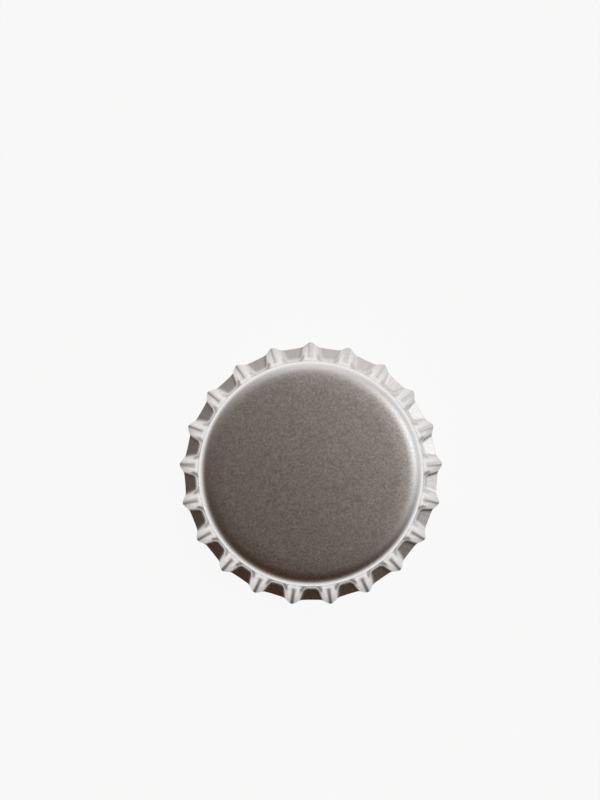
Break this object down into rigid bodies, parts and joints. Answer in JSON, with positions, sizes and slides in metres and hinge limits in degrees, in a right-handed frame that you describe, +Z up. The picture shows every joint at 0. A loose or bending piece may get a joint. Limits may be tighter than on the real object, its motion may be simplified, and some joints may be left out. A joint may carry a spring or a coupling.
{
  "type": "bottle cap",
  "caption": "Crown cap for a bottle: a pressed metal shell with a fluted skirt, and a moulded sealing liner bonded inside.",
  "frame": {"origin": "on the cap's axis, at the level of the open rim that it stands on", "axes": "+Z up through the panel along the cap's axis, +Y through a ridge tip"},
  "size_m": [0.032, 0.0319, 0.006],
  "materials": {
    "tinplate": "satin metallic lacquer over tinplate, with a fine even grain",
    "liner": "smooth semi-matt moulded compound"
  },
  "bodies": {
    "root": {"shell": "tinplate", "liner": "liner"}
  },
  "joints": []
}
